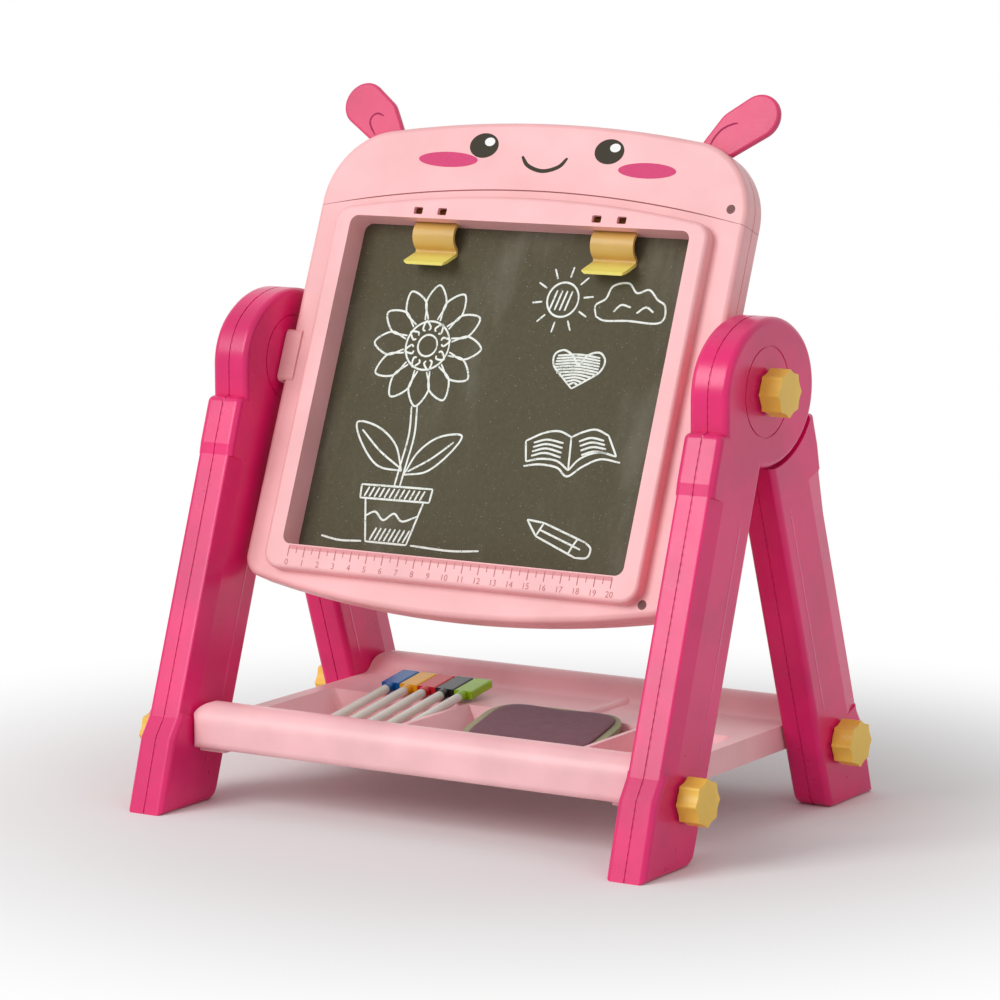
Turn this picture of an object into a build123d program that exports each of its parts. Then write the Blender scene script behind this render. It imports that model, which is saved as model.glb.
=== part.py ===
from build123d import *
from math import acos, atan, atan2, cos, pi, radians, sin, sqrt
import os

os.makedirs("parts", exist_ok=True)

# A table-top easel for a child: two A-shaped side stands, a two-sided drawing board that turns
# between their heads, a tray across their feet, and the pens and eraser that lie in the tray.
# X is across the easel, Y is towards its back and Z is up from the table. Lengths are in mm.

# ---- clearances that several pieces share ---------------------------------------------------
turning_gap = 0.05  # radial clearance of a stud or pin in its bore
seat_gap = 0.2  # between pieces that are clamped together or slide into each other
side_gap = 0.3  # between a moving piece and what stands beside it
groove = 0.4  # width and depth of the line left where two moulded halves meet

# ---- side stands ----------------------------------------------------------------------------
pivot_height = 232.3
leg_thickness = 22.5
leg_wall = 2.2
leg_face = 3.0
leg_round = 3.4  # rounding round the outer and inner faces
leg_run = 0.3566  # how far a leg spreads for each mm that it comes down
leg_front = 41.0  # from the pivot to the line of the leg's outboard edge, level with the pivot
leg_back = 8.2  # from the pivot to the line of its inboard edge
shoulder_drop = 17.0  # from the pivot down to the shoulder under the head
shoulder_round = 4.0
# how far the shaft stands proud under the head, and between which drops from the pivot that fades
front_collar = (0.8, 41.0, 47.0)
rear_collar = (5.0, 33.0, 71.0)
foot_half_spread = 125.9  # from the middle of the easel to a toe
foot_flare = 3.8  # how far the foot stands proud of the shaft
flare_top = 49.3
flare_bottom = 39.3
toe_round = 4.0
heel_round = 9.0
bevel_width = 12.5  # shallow bevel down the outboard edge of each face
bevel_depth = 1.8
bevel_drop = 47.0  # from the pivot down to the top of the bevel
bevel_bottom = 52.3

head_half_width = 47.0
head_half_height = 39.0
head_end_radius = 34.5  # of the arcs at the front and back of the oval
head_back = 4.3  # the oval head sits a little behind the pivot, and a little below it
head_drop = 1.0
scallop_gap = 1.0  # between the head and the hollow end of the rear leg
ring_radius = 23.1  # ring groove round the pivot
ring_width = 0.8
ring_depth = 0.5
tongue_half = 6.0  # half the thickness of the tongue by which the rear leg joins the head
tongue_inset = 3.0
tongue_radius = 14.0
tongue_drop = 47.0  # from the pivot down to its root
tongue_wall = 2.2

# ---- clamping knobs -------------------------------------------------------------------------
stud_radius = 2.5
boss_radius = 6.5
knob_radius = 13.0
knob_hollow = 11.0  # radius at the bottom of the hollows between its points
knob_height = 12.6
knob_points = 8
knob_point_round = 1.4
knob_base = 9.5
knob_base_height = 1.3
knob_recess = 8.0
knob_core = 5.2
knob_skin = 3.0
insert_radius = 3.6
insert_length = 11.0
stud_chamfer = 0.6
pivot_stud_short = 2.0  # how far a stud stops short of the inner end of its insert's bore
foot_stud_run = 11.7  # how far a foot stud runs into its insert
foot_knob_y = 84.0
foot_knob_z = 35.3

# ---- drawing board --------------------------------------------------------------------------
board_tilt = 22.2  # the board leans back this much
board_half_width = 132.2
board_half_depth = 9.5
board_wall = 2.2
arch_radius = 655.0  # of the board's lower edge, its seam with the header, and its top edge
board_bottom = 135.5  # below the pivot, in the middle
board_seam = 98.5
board_top = 137.0
bottom_corner = 12.0
top_corner = 42.0
board_round = 3.0
opening_half_width = 105.5
opening_bottom = 106.3
opening_top = 78.5
opening_corner = 5.0
rim_half_width = 116.0
rim_bottom = 120.0
rim_top = 93.0
rim_height = 7.0
rim_corner = 10.0
rim_round = 2.2
rim_wall = 2.5
sheet_thickness = 0.8
sheet_lap = 4.0  # how far a drawing sheet reaches under the rim
sheet_gap = 0.1
header_tab_inset = 54.2  # from the board's edge to the middle of a tab
header_tab_width = 16.0
header_tab_depth = 4.6

# ---- paper clips ----------------------------------------------------------------------------
clip_place = 55.7  # from the middle of the board to the middle of a clip
clip_width = 26.0
clip_thickness = 1.8
clip_pin_radius = 0.8
clip_barrel = 2.3
clip_up = 84.2  # the clip's pin, above the pivot and in front of the board's middle plane
clip_out = 7.2
clip_sink = 1.4  # from the pin down to the middle of the plate
clip_bow_up = 73.2  # centre and radius of the bow below the slot
clip_bow_out = 0.9
clip_bow_radius = 7.7
clip_bend = 2.2  # radius of the bends above and below the bow
clip_rest_gap = 0.3  # between the lower bend and the chalkboard
clip_tip = (54.4, 12.6)
clip_corner = 3.0
clip_rib = 2.4
slot_low = 3.6
slot_high = 9.4
window_width = 5.6
window_height = 4.0
window_round = 0.8
window_place = 7.6
window_up = 82.6

# ---- pivot blocks ---------------------------------------------------------------------------
block_lap = 6.7  # how far a block reaches over the face of the board
block_proud = 4.0  # how far it stands out past the board's edge
block_top = 14.0
block_bottom = 15.5
block_half_depth = 10.8
block_corner = 3.0
block_chamfer = 0.9
spigot_radius = 6.0
spigot_length = 3.5  # how far the spigot reaches inboard of the rest of its block
pivot_insert_radius = 4.0
frame_gap = 0.1

# ---- ears -----------------------------------------------------------------------------------
# circles that the ear's outline wraps, from its root to its tip: how far in from the board's edge
# and how far above its top their middles are, and their radius
ear_circles = ((30.2, -8.3, 8.8), (20.4, 2.0, 11.9), (9.0, 9.8, 12.4))
ear_half_depth = 2.2
ear_round = 1.6
ear_tab_width = 12.0
ear_tab_half = 1.4
ear_tab_depth = 8.0
ear_tab_inset = 28.2
ear_fit = 0.15

# ---- tray -----------------------------------------------------------------------------------
tray_bottom = 31.8
tray_floor = 34.1
deck_top = 45.3
rail_top = 56.4
rail_outer = 97.0
rail_foot = 73.6  # where the inner slope of a rail meets the level of the deck
rail_base = 67.5  # and that of the pockets' floor
rail_round_outer = 11.0
rail_round_inner = 9.5
rail_round_foot = 8.0
rail_round_base = 4.5
rail_round_end = 8.5
rail_round_corner = 3.0
tray_wall = 2.8
step_top = 23.0  # front edge of the deck
step_base = 18.0
# from the tray's ends in to the outer pockets, level with the deck and at their floor
pocket_left = (8.7, 18.2)
pocket_right = (8.2, 18.2)
# the walls between pockets: up one side from floor to deck, and down the other to the floor
pocket_walls = ((-41.0, -40.0, -37.0, -28.0), (71.0, 73.0, 76.0, 78.0))
pocket_round = 4.0
floor_round = 2.0
deck_rib_x = 33.0
deck_rib_radius = 3.4
deck_rib_height = 2.5
deck_rib_front = 28.0
deck_rib_back = 74.0
foot_boss = 11.6
foot_boss_length = 16.2

# ---- pens and eraser ------------------------------------------------------------------------
pen_names = ("blue", "yellow", "red", "black", "green")
pen_first = -91.0
pen_pitch = 11.9
pen_tilt = 8.3
pen_rest = 0.3  # how far a pen lies clear of the deck's edge
barrel_length = 79.5
barrel_radius = 2.5
nib_radius = 1.6
nib_length = 14.0
collar_radius = 2.9
collar_length = 4.6
cap_width = 11.4
cap_height = 4.8
cap_length = 21.2
cap_corner = 1.0
felt_length = 1.9
eraser_length = 84.0
eraser_width = 49.0
eraser_thickness = 2.4
eraser_corner = 16.0
eraser_slope = 0.25
eraser_x = 23.0
eraser_y = 2.0
pad_length = 75.0
pad_width = 47.0
pad_thickness = 1.4
pad_dip = 2.0  # how far its wavy edge dips
pad_corner = 4.0
pad_lobe = 0.62  # places where the waves of its edge meet, as shares of its half length and width
pad_hip = 0.6

rail_half_length = board_half_width + block_proud
stand_inner = rail_half_length + side_gap
stand_outer = stand_inner + leg_thickness
half_leg = leg_thickness / 2
leg_middle = stand_inner + half_leg
stud_bore = stud_radius + turning_gap
head_z = pivot_height - head_drop
shoulder_z = pivot_height - shoulder_drop
bevel_top = pivot_height - bevel_drop
tongue_root = pivot_height - tongue_drop
pocket_depth = rail_top - tray_floor
# for each pocket, its left end level with the deck and at its floor, then its right end
pockets = (
    (pocket_left[0] - rail_half_length, pocket_left[1] - rail_half_length, *pocket_walls[0][:2]),
    (*pocket_walls[0][2:], *pocket_walls[1][:2]),
    (*pocket_walls[1][2:], rail_half_length - pocket_right[1], rail_half_length - pocket_right[0]),
)
header_tab_place = board_half_width - header_tab_inset
ear_tab_place = board_half_width - ear_tab_inset
block_inner = board_half_width - block_lap
spigot_inner = block_inner - spigot_length
pivot_reach = spigot_inner + pivot_stud_short
foot_reach = rail_half_length - foot_stud_run
board = Plane(
    origin=(0, 0, pivot_height),
    x_dir=(1, 0, 0),
    z_dir=(0, -cos(radians(board_tilt)), sin(radians(board_tilt))),
)


def save(part, name):
    """Labels a finished piece and writes it as a STEP file of the same name."""
    part.label = name
    export_step(part, f"parts/{name}.step")


def rise(half, radius=arch_radius):
    """Height that an arc gains over half its width."""
    return radius - sqrt(radius**2 - half**2)


# ==== side stands ============================================================================
# Each leg is two moulded halves that meet at its middle. The front leg carries the oval head.
# The rear leg ends in a hollow that follows the head and reaches into it with a flat tongue.
def outboard(z, proud=0.0):
    """Distance from the easel's middle to a leg's outboard edge, at height z."""
    return leg_run * (pivot_height - z) + leg_front + proud


def inboard(z):
    """Distance from the easel's middle to a leg's inboard edge, at height z."""
    return leg_run * (pivot_height - z) - leg_back


def oval(grow=0.0):
    """The oval of the heads: two flat arcs above and below, and a tighter arc at each end."""
    reach = head_half_width - head_end_radius
    flat_radius = (reach**2 + head_half_height**2 - head_end_radius**2) / 2
    flat_radius /= head_half_height - head_end_radius
    run = (head_end_radius + grow) / (flat_radius - head_end_radius)
    y = reach * (1 + run)
    z = (flat_radius - head_half_height) * run
    width = head_half_width + grow
    height = head_half_height + grow
    with BuildSketch() as outline:
        with BuildLine():
            for way in (-1, 1):
                ThreePointArc(
                    (head_back - y, head_z + way * z),
                    (head_back, head_z + way * height),
                    (head_back + y, head_z + way * z),
                )
                ThreePointArc(
                    (head_back + way * y, head_z - z),
                    (head_back + way * width, head_z),
                    (head_back + way * y, head_z + z),
                )
        make_face()
    return outline.sketch


def head_outline(inset=0.0):
    """The oval head, with the upright flank that runs down to the shoulder."""
    with BuildSketch() as head:
        add(oval(-inset))
        with Locations((head_back - head_half_width + inset, head_z)):
            Rectangle(head_half_width / 2, shoulder_drop + 4, align=(Align.MIN, Align.MAX))
    return head.sketch


def shaft_outline(towards, inset=0.0):
    """A leg's shaft and foot; towards is -1 for a front leg and 1 for a rear leg."""
    collar, collar_drop, taper_drop = front_collar if towards < 0 else rear_collar
    collar_end, taper_end = pivot_height - collar_drop, pivot_height - taper_drop
    points = [
        (outboard(shoulder_z, collar), shoulder_z),
        (outboard(collar_end, collar), collar_end),
        (outboard(taper_end), taper_end),
        (outboard(flare_top), flare_top),
        (outboard(flare_bottom, foot_flare), flare_bottom),
        (foot_half_spread, 0),
        (inboard(0), 0),
        (inboard(shoulder_z), shoulder_z),
    ]
    with BuildSketch() as shaft:
        with BuildLine():
            Polyline([(towards * y, z) for y, z in points], close=True)
        make_face()
        heel, toe = shaft.vertices().group_by(Axis.Y)[0].sort_by(Axis.X, reverse=towards < 0)
        fillet(heel, heel_round)
        fillet(toe, toe_round)
        if inset:
            offset(amount=-inset, kind=Kind.INTERSECTION)
    return shaft.sketch


def front_outline(inset=0.0):
    """Outline of a front leg: the head, and the shaft that hangs from its front."""
    shoulder = (-outboard(shoulder_z, front_collar[0]), shoulder_z)
    with BuildSketch() as outline:
        add(head_outline(inset))
        add(shaft_outline(-1, inset))
        if not inset:
            fillet(outline.vertices().sort_by_distance(shoulder)[0], shoulder_round)
    return outline.sketch


def tongue_outline(grow=0.0):
    """Outline of the flat tongue by which a rear leg reaches the pivot."""
    inset = tongue_inset - grow
    with BuildSketch() as tongue:
        with BuildLine():
            Polyline(
                (inboard(tongue_root) + inset, tongue_root - grow),
                (outboard(tongue_root) - inset, tongue_root - grow),
                (outboard(pivot_height) - inset - 3, pivot_height + grow),
                (inboard(pivot_height) + inset, pivot_height + grow),
                close=True,
            )
        make_face()
        with Locations((0, pivot_height)):
            Circle(tongue_radius + grow)
    return tongue.sketch


def leg_half(side, towards, out):
    """One half of a leg; out is the way that its broad face looks along X."""
    seam = side * leg_middle
    floor = half_leg - leg_face

    def layer(depth):
        return Plane.YZ.offset(seam + out * depth)

    def outline(inset=0.0):
        if towards < 0:
            return front_outline(inset)
        return shaft_outline(1, inset)

    with BuildPart() as half:
        with BuildSketch(layer(groove)):
            add(outline())
        extrude(amount=out * (half_leg - groove))
        face = half.faces().sort_by(Axis.X)[-1 if out > 0 else 0]
        fillet(face.outer_wire().edges(), leg_round)
        with BuildSketch(layer(0)):
            add(outline(groove))
        extrude(amount=out * groove)
        if towards > 0:
            with BuildSketch(layer(0)):
                add(oval(scallop_gap))
            extrude(amount=out * half_leg, mode=Mode.SUBTRACT)

        # shallow bevel down the outboard edge
        lean = atan(leg_run)
        down = Vector(0, towards * sin(lean), -cos(lean))
        across = Vector(0, -towards * cos(lean), -sin(lean))
        top = Vector(seam + out * half_leg, towards * outboard(bevel_top), bevel_top)
        up = -towards * out
        with BuildSketch(Plane(origin=top, x_dir=across, z_dir=down)):
            with BuildLine():
                Polyline(
                    (-0.2 * bevel_width, -up * 1.2 * bevel_depth),
                    (bevel_width, 0),
                    (bevel_width, up),
                    (-0.2 * bevel_width, up),
                    close=True,
                )
            make_face()
        extrude(amount=(bevel_top - bevel_bottom) / cos(lean), mode=Mode.SUBTRACT)

        # the half is a shell, open at the seam
        with BuildSketch(layer(0)):
            add(outline(leg_wall))
            if towards > 0:
                add(oval(scallop_gap + leg_wall), mode=Mode.SUBTRACT)
        extrude(amount=out * floor, mode=Mode.SUBTRACT)

        # tube round the foot stud
        with BuildSketch(layer(0)):
            with Locations((towards * foot_knob_y, foot_knob_z)):
                Circle(boss_radius)
        extrude(amount=out * floor)
        with BuildSketch(layer(0)):
            with Locations((towards * foot_knob_y, foot_knob_z)):
                Circle(stud_bore)
        extrude(amount=out * half_leg, mode=Mode.SUBTRACT)

        if towards < 0:
            # slot for the rear leg's tongue, tube round the pivot stud, and ring groove
            with BuildSketch(layer(0)):
                add(tongue_outline(seat_gap))
            extrude(amount=out * (tongue_half + seat_gap), mode=Mode.SUBTRACT)
            with BuildSketch(layer(tongue_half + seat_gap)):
                with Locations((0, pivot_height)):
                    Circle(boss_radius)
            extrude(amount=out * (floor - tongue_half - seat_gap))
            with BuildSketch(layer(half_leg)):
                with Locations((0, pivot_height)):
                    Circle(ring_radius + ring_width)
                    Circle(ring_radius, mode=Mode.SUBTRACT)
            extrude(amount=-out * ring_depth, mode=Mode.SUBTRACT)
        else:
            # the tongue is a flat box with a tube round the pivot stud
            with BuildSketch(layer(0)):
                add(tongue_outline())
            extrude(amount=out * tongue_half)
            with BuildSketch(layer(0)):
                add(tongue_outline(-tongue_wall))
            extrude(amount=out * (tongue_half - tongue_wall), mode=Mode.SUBTRACT)
            with BuildSketch(layer(0)):
                with Locations((0, pivot_height)):
                    Circle(boss_radius)
            extrude(amount=out * tongue_half)
        with BuildSketch(layer(0)):
            with Locations((0, pivot_height)):
                Circle(stud_bore)
        extrude(amount=out * half_leg, mode=Mode.SUBTRACT)
    return half.part


for side, hand in ((-1, "left"), (1, "right")):
    for towards, place in ((-1, "front"), (1, "rear")):
        for out, shell in ((side, "outer"), (-side, "inner")):
            save(leg_half(side, towards, out), f"{place}_leg_{hand}_{shell}")


# ==== clamping knobs =========================================================================
# Four feet and two pivots are each clamped by a star knob on a long stud.
def star(radius, hollow, points):
    """A star with hollow sides, drawn round the sketch's origin."""
    turn = pi / points
    with BuildSketch() as outline:
        with BuildLine():
            for k in range(points):
                first, middle, last = ((2 * k + step) * turn for step in (0, 1, 2))
                ThreePointArc(
                    (radius * cos(first), radius * sin(first)),
                    (hollow * cos(middle), hollow * sin(middle)),
                    (radius * cos(last), radius * sin(last)),
                )
        make_face()
        fillet(outline.vertices(), knob_point_round)
    return outline.sketch


def knob(side, y, z):
    """A hollow-backed star knob against the outer face of a leg."""
    foot = stand_outer + side_gap

    def layer(depth):
        return Plane(origin=(side * (foot + depth), y, z), x_dir=(0, 1, 0), z_dir=(side, 0, 0))

    with BuildPart() as handle:
        with BuildSketch(layer(knob_base_height)):
            add(star(knob_radius, knob_hollow, knob_points))
        extrude(amount=knob_height - knob_base_height)
        with BuildSketch(layer(0)):
            Circle(knob_base)
        extrude(amount=knob_base_height)
        with BuildSketch(layer(0)):
            Circle(knob_recess)
            Circle(knob_core, mode=Mode.SUBTRACT)
            Circle(stud_radius)
        extrude(amount=knob_height - knob_skin, mode=Mode.SUBTRACT)
    return handle.part


def stud(side, y, z, reach):
    """A plain stud from inside its knob through the leg."""
    start = stand_outer + side_gap + knob_height - knob_skin
    with BuildPart() as rod:
        with BuildSketch(Plane(origin=(side * start, y, z), z_dir=(-side, 0, 0))):
            Circle(stud_radius)
        extrude(amount=start - reach)
        chamfer(rod.faces().sort_by(Axis.X)[0 if side > 0 else -1].edges(), stud_chamfer)
    return rod.part


for side, hand in ((-1, "left"), (1, "right")):
    for place, y, z, reach in (
        ("pivot", 0, pivot_height, pivot_reach),
        ("front_foot", -foot_knob_y, foot_knob_z, foot_reach),
        ("rear_foot", foot_knob_y, foot_knob_z, foot_reach),
    ):
        save(knob(side, y, z), f"{place}_knob_{hand}")
        save(stud(side, y, z, reach), f"{place}_stud_{hand}")


# ==== tray ===================================================================================
# One moulding: rolled rails at the front and back, a deck behind, and three pockets in front of
# it. It is hollow from below, and brass inserts in the ends of its rails take the foot studs.
def leaning(at_deck, at_floor, z):
    """Place at height z on a wall that leans from the deck's level to the pockets' floor."""
    return at_deck + (z - deck_top) * (at_deck - at_floor) / (deck_top - tray_floor)


def rail_corners(base):
    """Corners of the rear rail's section, from its base up and over to the deck."""
    rail_inner = leaning(rail_foot, rail_base, rail_top)
    return [(rail_outer, base), (rail_outer, rail_top), (rail_inner, rail_top), (rail_foot, deck_top)]


def tray_section():
    """Section of the whole tray before its pockets are sunk."""
    corners = rail_corners(tray_bottom)
    radii = (rail_round_base, rail_round_outer, rail_round_inner, rail_round_foot)
    with BuildSketch() as section:
        with BuildLine():
            Polyline(*corners, *[(-y, z) for y, z in reversed(corners)], close=True)
        make_face()
        for (y, z), radius in zip(corners, radii):
            for towards in (-1, 1):
                fillet(section.vertices().sort_by_distance((towards * y, z))[0], radius)
    return section.sketch


def hollow_section(below_deck):
    """Section of the hollow in the rear rail, which can run on below the deck."""
    base = tray_bottom - tray_wall
    corners = rail_corners(base)
    if below_deck:
        corners += [(step_top, deck_top), (leaning(step_top, step_base, base), base)]
    else:
        corners[3] = (leaning(rail_foot, rail_base, base), base)
    with BuildSketch() as section:
        with BuildLine():
            Polyline(*corners, close=True)
        make_face()
        fillet(section.vertices().sort_by_distance(corners[1])[0], rail_round_outer)
        fillet(section.vertices().sort_by_distance(corners[2])[0], rail_round_inner)
        offset(amount=-tray_wall, kind=Kind.INTERSECTION)
    return section.sketch


def end_plane(towards, x):
    """A plane across the tray; towards is 1 for the rear rail and -1 for the front rail."""
    return Plane(origin=(-towards * x, 0, 0), x_dir=(0, towards, 0), z_dir=(towards, 0, 0))


with BuildPart() as pocket_cutter:
    with BuildSketch(Plane.XZ.offset(-rail_foot)):
        for left, left_floor, right_floor, right in pockets:
            with BuildLine():
                Polyline(
                    (left_floor, tray_floor),
                    (right_floor, tray_floor),
                    (leaning(right, right_floor, rail_top), rail_top),
                    (leaning(left, left_floor, rail_top), rail_top),
                    close=True,
                )
            make_face()
    extrude(amount=2 * rail_outer)
    with BuildSketch(end_plane(1, rail_half_length)):
        with BuildLine():
            Polyline(
                (-rail_base, tray_floor),
                (step_base, tray_floor),
                (leaning(step_top, step_base, rail_top), rail_top),
                (leaning(-rail_foot, -rail_base, rail_top), rail_top),
                close=True,
            )
        make_face()
    extrude(amount=2 * rail_half_length, mode=Mode.INTERSECT)
    tall = 0.9 * pocket_depth
    fillet([edge for edge in pocket_cutter.edges() if edge.bounding_box().size.Z > tall], pocket_round)
    fillet(pocket_cutter.faces().group_by(Axis.Z)[0].edges(), floor_round)

with BuildPart() as tray:
    with BuildSketch(end_plane(1, rail_half_length)):
        add(tray_section())
    extrude(amount=2 * rail_half_length)
    with BuildSketch(Plane.XZ.offset(-rail_outer)) as front:
        with Locations((0, tray_bottom)):
            Rectangle(2 * rail_half_length, rail_top - tray_bottom, align=(Align.CENTER, Align.MIN))
        fillet(front.vertices().group_by(Axis.Y)[-1], rail_round_end)
    extrude(amount=2 * rail_outer, mode=Mode.INTERSECT)
    with BuildSketch(Plane.XY.offset(tray_bottom)):
        RectangleRounded(2 * rail_half_length, 2 * rail_outer, rail_round_corner)
    extrude(amount=rail_top - tray_bottom, mode=Mode.INTERSECT)
    add(pocket_cutter.part, mode=Mode.SUBTRACT)

    # low rib across the deck
    crest = deck_top + deck_rib_height - deck_rib_radius
    with BuildSketch(Plane(origin=(deck_rib_x, deck_rib_back, crest), x_dir=(1, 0, 0), z_dir=(0, -1, 0))):
        Circle(deck_rib_radius)
    extrude(amount=deck_rib_back - deck_rib_front - deck_rib_radius)
    with Locations((deck_rib_x, deck_rib_front + deck_rib_radius, crest)):
        Sphere(deck_rib_radius)

    # hollows inside the rails and below the deck
    for towards in (-1, 1):
        with BuildSketch(end_plane(towards, rail_half_length - tray_wall)):
            add(hollow_section(towards > 0))
        extrude(amount=2 * (rail_half_length - tray_wall), mode=Mode.SUBTRACT)

    # blocks for the inserts in the ends of the rails
    for side in (-1, 1):
        for towards in (-1, 1):
            mouth = (side * rail_half_length, towards * foot_knob_y, foot_knob_z)
            with BuildSketch(Plane(origin=mouth, z_dir=(-side, 0, 0))):
                Rectangle(foot_boss, foot_boss)
            extrude(amount=foot_boss_length)
            with BuildSketch(Plane(origin=mouth, z_dir=(-side, 0, 0))):
                Circle(insert_radius)
            extrude(amount=foot_boss_length, mode=Mode.SUBTRACT)
save(tray.part, "tray")

with BuildPart() as tray_inserts:
    for side in (-1, 1):
        for towards in (-1, 1):
            corner = (side * (rail_half_length - seat_gap), towards * foot_knob_y, foot_knob_z)
            with BuildSketch(Plane(origin=corner, z_dir=(-side, 0, 0))):
                Circle(insert_radius)
                Circle(stud_bore, mode=Mode.SUBTRACT)
            extrude(amount=insert_length)
save(tray_inserts.part, "tray_inserts")


# ==== drawing board ==========================================================================
# Two bezels close round a chalkboard sheet, to the front, and a white sheet, to the back. Each
# has a raised rim round its opening, and is a shell behind its face.
def bezel_outline(inset=0.0):
    """Outline of the board below its seam with the header."""
    half = board_half_width - inset
    top = board_seam - inset
    low = board_bottom - inset
    bow = rise(half, arch_radius - inset)
    with BuildSketch() as panel:
        with BuildLine():
            ThreePointArc((-half, top - bow), (0, top), (half, top - bow))
            Line((half, top - bow), (half, bow - low))
            ThreePointArc((half, bow - low), (0, -low), (-half, bow - low))
            Line((-half, bow - low), (-half, top - bow))
        make_face()
        corners = panel.vertices().filter_by_position(Axis.Y, -board_bottom, 0)
        fillet(corners, bottom_corner - inset)
    return panel.sketch


def rim_outline(inset=0.0):
    """Outline of the raised rim."""
    half = rim_half_width - inset
    top = rim_top - inset
    low = rim_bottom - inset
    bow = rise(half, arch_radius - inset)
    with BuildSketch() as rim:
        with BuildLine():
            ThreePointArc((-half, top - bow), (0, top), (half, top - bow))
            Polyline((half, top - bow), (half, -low), (-half, -low), (-half, top - bow))
        make_face()
        fillet(rim.vertices(), rim_corner - inset)
    return rim.sketch


def opening_outline(grow=0.0):
    """Outline of the opening over a drawing sheet."""
    with BuildSketch() as opening:
        with Locations((0, (opening_top - opening_bottom) / 2)):
            RectangleRounded(
                2 * (opening_half_width + grow),
                opening_top + opening_bottom + 2 * grow,
                opening_corner + grow,
            )
    return opening.sketch


def header_outline(inset=0.0):
    """Outline of the header above the seam."""
    half = board_half_width - inset
    top = board_top - inset
    base = board_seam + seat_gap + inset
    shoulder = top - rise(half, arch_radius - inset)
    heel = base - rise(half, arch_radius + inset)
    with BuildSketch() as panel:
        with BuildLine():
            ThreePointArc((-half, shoulder), (0, top), (half, shoulder))
            Line((half, shoulder), (half, heel))
            ThreePointArc((half, heel), (0, base), (-half, heel))
            Line((-half, heel), (-half, shoulder))
        make_face()
        corners = panel.vertices().filter_by_position(Axis.Y, shoulder - 1, shoulder + 1)
        fillet(corners, top_corner - 2 * inset)
    return panel.sketch


def facing(front):
    """The board's middle plane, looking to the front or to the back."""
    if front:
        return board
    return Plane(origin=board.origin, x_dir=-board.x_dir, z_dir=-board.z_dir)


def tab_outline(grow=0.0):
    """The two tabs by which the header stands in the bezels."""
    seam_y = board_seam - rise(header_tab_place)
    with BuildSketch() as tabs:
        with Locations((-header_tab_place, seam_y), (header_tab_place, seam_y)):
            Rectangle(header_tab_width + 2 * grow, 2 * (header_tab_depth + grow))
    return tabs.sketch


def ear_slots():
    """Openings in the header's top edge for the tabs of the ears."""
    with BuildSketch() as slots:
        low = board_top - 1.5 * ear_tab_depth
        with Locations((-ear_tab_place, low), (ear_tab_place, low)):
            Rectangle(ear_tab_width + 2 * ear_fit, 3 * ear_tab_depth)
    return slots.sketch


def shell(outline, plane, keep_sharp):
    """A half of the board as a dished shell; keep_sharp drops edges from the rounding."""
    with BuildPart() as half:
        with BuildSketch(plane.offset(groove)):
            add(outline())
        extrude(amount=board_half_depth - groove)
        face = half.faces().sort_by(Axis(plane.origin, plane.z_dir))[-1]
        edges = face.outer_wire().edges()
        soft = [edge for edge in edges if not keep_sharp(plane.to_local_coords(edge.center()))]
        fillet(soft, board_round)
        with BuildSketch(plane):
            add(outline(groove))
        extrude(amount=groove)
        with BuildSketch(plane):
            add(outline(board_wall))
        extrude(amount=board_half_depth - board_wall, mode=Mode.SUBTRACT)
    return half.part


def bezel(front):
    """One bezel, with its rim, its opening, the clip slots at the front and the spigot notches."""
    plane = facing(front)
    full = board_half_depth + rim_height
    with BuildPart() as frame:
        add(shell(bezel_outline, plane, lambda at: at.Y > board_seam - rise(board_half_width)))
        with BuildSketch(plane):
            add(rim_outline())
        extrude(amount=full)
        face = frame.faces().sort_by(Axis(plane.origin, plane.z_dir))[-1]
        fillet(face.outer_wire().edges(), rim_round)
        with BuildSketch(plane):
            add(rim_outline(rim_wall))
        extrude(amount=full - rim_wall, mode=Mode.SUBTRACT)
        with BuildSketch(plane):
            add(opening_outline(rim_wall))
        extrude(amount=full - rim_wall)
        with BuildSketch(plane):
            add(opening_outline())
        extrude(amount=full, mode=Mode.SUBTRACT)
        with BuildSketch(plane):
            add(opening_outline(sheet_lap + sheet_gap))
        extrude(amount=sheet_thickness + sheet_gap, mode=Mode.SUBTRACT)
        with BuildSketch(plane):
            add(tab_outline(seat_gap))
        extrude(amount=board_half_depth - board_wall, mode=Mode.SUBTRACT)
        for side in (-1, 1):
            inner = plane.from_local_coords((side * spigot_inner, 0, 0))
            wall = Plane(origin=inner, z_dir=(side * plane.x_dir.X, 0, 0))
            with BuildSketch(wall):
                Circle(spigot_radius + frame_gap)
            extrude(amount=board_half_width - spigot_inner, mode=Mode.SUBTRACT)
        if front:
            for side in (-1, 1):
                middle = side * clip_place
                for edge in (-1, 1):
                    near = middle + edge * (clip_width / 2 + side_gap)
                    with BuildSketch(plane.offset(slot_low - 1)):
                        with Locations((near + edge * clip_rib / 2, opening_top + 1)):
                            Rectangle(clip_rib, 9, align=(Align.CENTER, Align.MIN))
                    extrude(amount=full - rim_wall - slot_low + 2)
                with BuildSketch(plane.offset(slot_low)):
                    with Locations((middle, opening_top)):
                        Rectangle(clip_width + 2 * side_gap, 2 * rim_wall)
                extrude(amount=slot_high - slot_low, mode=Mode.SUBTRACT)
                with BuildSketch(plane.offset(full - rim_wall)):
                    with Locations(
                        (middle - window_place, window_up),
                        (middle + window_place, window_up),
                    ):
                        RectangleRounded(window_width, window_height, window_round)
                extrude(amount=rim_wall, mode=Mode.SUBTRACT)
                pin_at = plane.from_local_coords((middle - clip_width / 2 - clip_rib, clip_up, clip_out))
                with BuildSketch(Plane(origin=pin_at, z_dir=(1, 0, 0))):
                    Circle(clip_pin_radius + turning_gap)
                extrude(amount=clip_width + 2 * clip_rib, mode=Mode.SUBTRACT)
    return frame.part


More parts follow.
